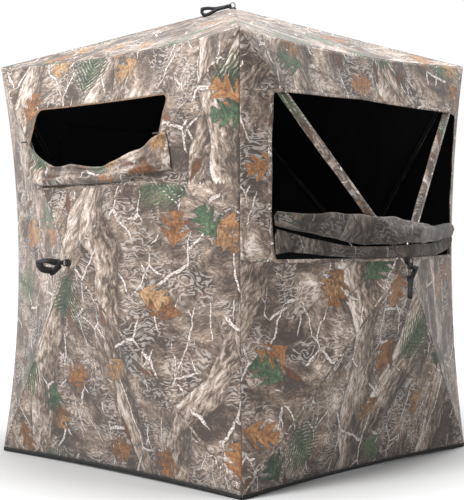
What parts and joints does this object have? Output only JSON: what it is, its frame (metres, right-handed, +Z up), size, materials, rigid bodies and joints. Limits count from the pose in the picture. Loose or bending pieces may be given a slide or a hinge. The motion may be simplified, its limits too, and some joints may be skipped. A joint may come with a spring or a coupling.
{
  "type": "pop up ground blind",
  "caption": "Free-standing square hunting blind: camouflage cloth cabin on sprung hub-and-pole faces that pop in and out, with windows, pull straps and a zipped door.",
  "frame": {"origin": "on the ground at the middle of the footprint", "axes": "+Z up, -Y out through the front wall with the smaller window, +X out through the wall with the big open window"},
  "size_m": [2.024, 2.3202, 2.085],
  "materials": {
    "camo_cloth": "woven, printed woodland pattern",
    "screen_mesh": "knitted mesh",
    "binding_tape": "woven",
    "window_binding": "woven",
    "toggle_plastic": "matte",
    "zip_tape": "woven",
    "zip_metal": "satin black",
    "grommet_metal": "dull",
    "hub_plastic": "moulded",
    "fastener_steel": "zinc plated",
    "eye_bolt_black": "black coated",
    "strap_webbing": "woven webbing",
    "pole_fibreglass": "satin pultruded"
  },
  "bodies": {
    "shell": {"roof_panel": "camo_cloth", "front_wall": "camo_cloth", "right_wall": "camo_cloth", "back_wall": "camo_cloth", "left_wall": "camo_cloth", "base_hem": "binding_tape", "corner_patches": "binding_tape", "stake_grommets": "grommet_metal", "right_window_binding": "camo_cloth", "right_window_cover": "camo_cloth", "right_window_mesh": "screen_mesh", "left_window_cover": "camo_cloth"},
    "roof_hub": {"roof_hub": "hub_plastic", "roof_hub_fasteners": "fastener_steel", "roof_eye_bolt": "eye_bolt_black"},
    "roof_pole_back_right": {"roof_pole_back_right": "pole_fibreglass"},
    "roof_pole_back_left": {"roof_pole_back_left": "pole_fibreglass"},
    "roof_pole_front_left": {"roof_pole_front_left": "pole_fibreglass"},
    "roof_pole_front_right": {"roof_pole_front_right": "pole_fibreglass"},
    "roof_pull_strap": {"roof_pull_strap": "strap_webbing"},
    "front_hub": {"front_hub": "hub_plastic", "front_hub_fasteners": "fastener_steel", "front_eye_bolt": "eye_bolt_black"},
    "front_pole_upper_right": {"front_pole_upper_right": "pole_fibreglass"},
    "front_pole_upper_left": {"front_pole_upper_left": "pole_fibreglass"},
    "front_pole_lower_left": {"front_pole_lower_left": "pole_fibreglass"},
    "front_pole_lower_right": {"front_pole_lower_right": "pole_fibreglass"},
    "front_pull_strap": {"front_pull_strap": "strap_webbing"},
    "right_hub": {"right_hub": "hub_plastic", "right_hub_fasteners": "fastener_steel", "right_eye_bolt": "eye_bolt_black"},
    "right_pole_upper_right": {"right_pole_upper_right": "pole_fibreglass", "right_window_sleeve_back": "camo_cloth"},
    "right_pole_upper_left": {"right_pole_upper_left": "pole_fibreglass", "right_window_sleeve_front": "camo_cloth"},
    "right_pole_lower_left": {"right_pole_lower_left": "pole_fibreglass"},
    "right_pole_lower_right": {"right_pole_lower_right": "pole_fibreglass"},
    "right_pull_strap": {"right_pull_strap": "strap_webbing"},
    "back_hub": {"back_hub": "hub_plastic", "back_hub_fasteners": "fastener_steel", "back_eye_bolt": "eye_bolt_black"},
    "back_pole_upper_right": {"back_pole_upper_right": "pole_fibreglass"},
    "back_pole_upper_left": {"back_pole_upper_left": "pole_fibreglass"},
    "back_pole_lower_left": {"back_pole_lower_left": "pole_fibreglass"},
    "back_pole_lower_right": {"back_pole_lower_right": "pole_fibreglass"},
    "back_pull_strap": {"back_pull_strap": "strap_webbing"},
    "left_hub": {"left_hub": "hub_plastic", "left_hub_fasteners": "fastener_steel", "left_eye_bolt": "eye_bolt_black"},
    "left_pole_upper_right": {"left_pole_upper_right": "pole_fibreglass"},
    "left_pole_upper_left": {"left_pole_upper_left": "pole_fibreglass"},
    "left_pole_lower_left": {"left_pole_lower_left": "pole_fibreglass"},
    "left_pole_lower_right": {"left_pole_lower_right": "pole_fibreglass"},
    "left_pull_strap": {"left_pull_strap": "strap_webbing"},
    "front_gore": {"front_window_binding": "window_binding", "front_window_toggles": "toggle_plastic"},
    "front_cover": {"front_window_cover": "camo_cloth"},
    "door_frame": {"door_zip_tape": "zip_tape"},
    "door": {"door_panel": "camo_cloth"},
    "door_slider": {"door_zip_slider": "zip_metal"}
  },
  "joints": [
    {"name": "roof_hub_pop", "type": "slide", "parent": "shell", "child": "roof_hub", "axis": [0, 0, -1], "range_m": [0, 0.55], "deforming": ["roof_panel"]},
    {"name": "roof_pole_back_right_turn", "type": "hinge", "parent": "roof_hub", "child": "roof_pole_back_right", "pos_m": [0.01838, 0.01838, 2.02566], "axis": [0.7071, -0.7071, 0], "range_deg": [0, 29.31]},
    {"name": "roof_pole_back_left_turn", "type": "hinge", "parent": "roof_hub", "child": "roof_pole_back_left", "pos_m": [-0.01838, 0.01838, 2.02566], "axis": [0.7071, 0.7071, 0], "range_deg": [0, 29.31]},
    {"name": "roof_pole_front_left_turn", "type": "hinge", "parent": "roof_hub", "child": "roof_pole_front_left", "pos_m": [-0.01838, -0.01838, 2.02566], "axis": [-0.7071, 0.7071, 0], "range_deg": [0, 29.31]},
    {"name": "roof_pole_front_right_turn", "type": "hinge", "parent": "roof_hub", "child": "roof_pole_front_right", "pos_m": [0.01838, -0.01838, 2.02566], "axis": [-0.7071, -0.7071, 0], "range_deg": [0, 29.31]},
    {"name": "roof_strap_swing", "type": "hinge", "parent": "roof_hub", "child": "roof_pull_strap", "pos_m": [0, 0, 2.071], "axis": [-0.9135, 0.4067, 0], "range_deg": [0, 165]},
    {"name": "front_hub_pop", "type": "slide", "parent": "shell", "child": "front_hub", "axis": [0, 1, 0], "range_m": [0, 0.44], "deforming": ["front_wall"]},
    {"name": "front_pole_upper_right_turn", "type": "hinge", "parent": "front_hub", "child": "front_pole_upper_right", "pos_m": [0.01691, -0.95473, 0.90975], "axis": [0.7596, 0, -0.6504], "range_deg": [0, 21.74]},
    {"name": "front_pole_upper_left_turn", "type": "hinge", "parent": "front_hub", "child": "front_pole_upper_left", "pos_m": [-0.01691, -0.95473, 0.90975], "axis": [0.7596, 0, 0.6504], "range_deg": [0, 21.74]},
    {"name": "front_pole_lower_left_turn", "type": "hinge", "parent": "front_hub", "child": "front_pole_lower_left", "pos_m": [-0.01691, -0.95473, 0.87025], "axis": [-0.7596, 0, 0.6504], "range_deg": [0, 21.74]},
    {"name": "front_pole_lower_right_turn", "type": "hinge", "parent": "front_hub", "child": "front_pole_lower_right", "pos_m": [0.01691, -0.95473, 0.87025], "axis": [-0.7596, 0, -0.6504], "range_deg": [0, 21.74]},
    {"name": "front_strap_swing", "type": "hinge", "parent": "front_hub", "child": "front_pull_strap", "pos_m": [0, -0.998, 0.89], "axis": [1, 0, 0], "range_deg": [-80, 85]},
    {"name": "right_hub_pop", "type": "slide", "parent": "shell", "child": "right_hub", "axis": [-1, 0, 0], "range_m": [0, 0.44], "deforming": ["right_wall", "right_window_binding", "right_window_cover", "right_window_mesh"]},
    {"name": "right_pole_upper_right_turn", "type": "hinge", "parent": "right_hub", "child": "right_pole_upper_right", "pos_m": [0.95473, 0.01691, 0.90975], "axis": [0, 0.7596, -0.6504], "range_deg": [0, 21.74]},
    {"name": "right_pole_upper_left_turn", "type": "hinge", "parent": "right_hub", "child": "right_pole_upper_left", "pos_m": [0.95473, -0.01691, 0.90975], "axis": [0, 0.7596, 0.6504], "range_deg": [0, 21.74]},
    {"name": "right_pole_lower_left_turn", "type": "hinge", "parent": "right_hub", "child": "right_pole_lower_left", "pos_m": [0.95473, -0.01691, 0.87025], "axis": [0, -0.7596, 0.6504], "range_deg": [0, 21.74]},
    {"name": "right_pole_lower_right_turn", "type": "hinge", "parent": "right_hub", "child": "right_pole_lower_right", "pos_m": [0.95473, 0.01691, 0.87025], "axis": [0, -0.7596, -0.6504], "range_deg": [0, 21.74]},
    {"name": "right_strap_swing", "type": "hinge", "parent": "right_hub", "child": "right_pull_strap", "pos_m": [0.998, 0, 0.89], "axis": [0, -1, 0], "range_deg": [-8, 165]},
    {"name": "back_hub_pop", "type": "slide", "parent": "shell", "child": "back_hub", "axis": [0, -1, 0], "range_m": [0, 0.44], "deforming": ["back_wall"]},
    {"name": "back_pole_upper_right_turn", "type": "hinge", "parent": "back_hub", "child": "back_pole_upper_right", "pos_m": [-0.01691, 0.95473, 0.90975], "axis": [-0.7596, 0, -0.6504], "range_deg": [0, 21.74]},
    {"name": "back_pole_upper_left_turn", "type": "hinge", "parent": "back_hub", "child": "back_pole_upper_left", "pos_m": [0.01691, 0.95473, 0.90975], "axis": [-0.7596, 0, 0.6504], "range_deg": [0, 21.74]},
    {"name": "back_pole_lower_left_turn", "type": "hinge", "parent": "back_hub", "child": "back_pole_lower_left", "pos_m": [0.01691, 0.95473, 0.87025], "axis": [0.7596, 0, 0.6504], "range_deg": [0, 21.74]},
    {"name": "back_pole_lower_right_turn", "type": "hinge", "parent": "back_hub", "child": "back_pole_lower_right", "pos_m": [-0.01691, 0.95473, 0.87025], "axis": [0.7596, 0, -0.6504], "range_deg": [0, 21.74]},
    {"name": "back_strap_swing", "type": "hinge", "parent": "back_hub", "child": "back_pull_strap", "pos_m": [0, 0.998, 0.89], "axis": [-1, 0, 0], "range_deg": [-80, 85]},
    {"name": "left_hub_pop", "type": "slide", "parent": "shell", "child": "left_hub", "axis": [1, 0, 0], "range_m": [0, 0.44], "deforming": ["left_wall", "left_window_cover"]},
    {"name": "left_pole_upper_right_turn", "type": "hinge", "parent": "left_hub", "child": "left_pole_upper_right", "pos_m": [-0.95473, -0.01691, 0.90975], "axis": [0, -0.7596, -0.6504], "range_deg": [0, 21.74]},
    {"name": "left_pole_upper_left_turn", "type": "hinge", "parent": "left_hub", "child": "left_pole_upper_left", "pos_m": [-0.95473, 0.01691, 0.90975], "axis": [0, -0.7596, 0.6504], "range_deg": [0, 21.74]},
    {"name": "left_pole_lower_left_turn", "type": "hinge", "parent": "left_hub", "child": "left_pole_lower_left", "pos_m": [-0.95473, 0.01691, 0.87025], "axis": [0, 0.7596, 0.6504], "range_deg": [0, 21.74]},
    {"name": "left_pole_lower_right_turn", "type": "hinge", "parent": "left_hub", "child": "left_pole_lower_right", "pos_m": [-0.95473, -0.01691, 0.87025], "axis": [0, 0.7596, -0.6504], "range_deg": [0, 21.74]},
    {"name": "left_strap_swing", "type": "hinge", "parent": "left_hub", "child": "left_pull_strap", "pos_m": [-0.998, 0, 0.89], "axis": [0, 1, 0], "range_deg": [-8, 165]},
    {"name": "front_gore_fold", "type": "hinge", "parent": "shell", "child": "front_gore", "pos_m": [0, -0.762, 1.78], "axis": [1, 0, 0], "range_deg": [0, 27.77]},
    {"name": "front_cover_raise", "type": "slide", "parent": "front_gore", "child": "front_cover", "axis": [0, 0.24, 0.9708], "range_m": [0, 0.23], "deforming": ["front_window_cover"]},
    {"name": "door_frame_fold", "type": "hinge", "parent": "shell", "child": "door_frame", "pos_m": [-0.762, 0.762, 0.89], "axis": [0, 0, -1], "range_deg": [0, 32.21]},
    {"name": "door_swing", "type": "hinge", "parent": "door_frame", "child": "door", "pos_m": [-0.684, 0.748, 0.89], "axis": [0, 0, 1], "range_deg": [0, 110]},
    {"name": "door_zip_slide", "type": "slide", "parent": "door_frame", "child": "door_slider", "axis": [0.6392, 0.1845, 0.7466], "range_m": [0, 0.78]}
  ],
  "couplings": [
    {"joint": "roof_pole_back_right_turn", "follows": "roof_hub_pop", "rad_per_m": 0.93004},
    {"joint": "roof_pole_back_left_turn", "follows": "roof_hub_pop", "rad_per_m": 0.93004},
    {"joint": "roof_pole_front_left_turn", "follows": "roof_hub_pop", "rad_per_m": 0.93004},
    {"joint": "roof_pole_front_right_turn", "follows": "roof_hub_pop", "rad_per_m": 0.93004},
    {"joint": "front_pole_upper_right_turn", "follows": "front_hub_pop", "rad_per_m": 0.86236},
    {"joint": "front_pole_upper_left_turn", "follows": "front_hub_pop", "rad_per_m": 0.86236},
    {"joint": "front_pole_lower_left_turn", "follows": "front_hub_pop", "rad_per_m": 0.86236},
    {"joint": "front_pole_lower_right_turn", "follows": "front_hub_pop", "rad_per_m": 0.86236},
    {"joint": "right_pole_upper_right_turn", "follows": "right_hub_pop", "rad_per_m": 0.86236},
    {"joint": "right_pole_upper_left_turn", "follows": "right_hub_pop", "rad_per_m": 0.86236},
    {"joint": "right_pole_lower_left_turn", "follows": "right_hub_pop", "rad_per_m": 0.86236},
    {"joint": "right_pole_lower_right_turn", "follows": "right_hub_pop", "rad_per_m": 0.86236},
    {"joint": "back_pole_upper_right_turn", "follows": "back_hub_pop", "rad_per_m": 0.86236},
    {"joint": "back_pole_upper_left_turn", "follows": "back_hub_pop", "rad_per_m": 0.86236},
    {"joint": "back_pole_lower_left_turn", "follows": "back_hub_pop", "rad_per_m": 0.86236},
    {"joint": "back_pole_lower_right_turn", "follows": "back_hub_pop", "rad_per_m": 0.86236},
    {"joint": "left_pole_upper_right_turn", "follows": "left_hub_pop", "rad_per_m": 0.86236},
    {"joint": "left_pole_upper_left_turn", "follows": "left_hub_pop", "rad_per_m": 0.86236},
    {"joint": "left_pole_lower_left_turn", "follows": "left_hub_pop", "rad_per_m": 0.86236},
    {"joint": "left_pole_lower_right_turn", "follows": "left_hub_pop", "rad_per_m": 0.86236},
    {"joint": "front_gore_fold", "follows": "front_hub_pop", "rad_per_m": 1.1015},
    {"joint": "door_frame_fold", "follows": "back_hub_pop", "rad_per_m": 1.2776}
  ]
}
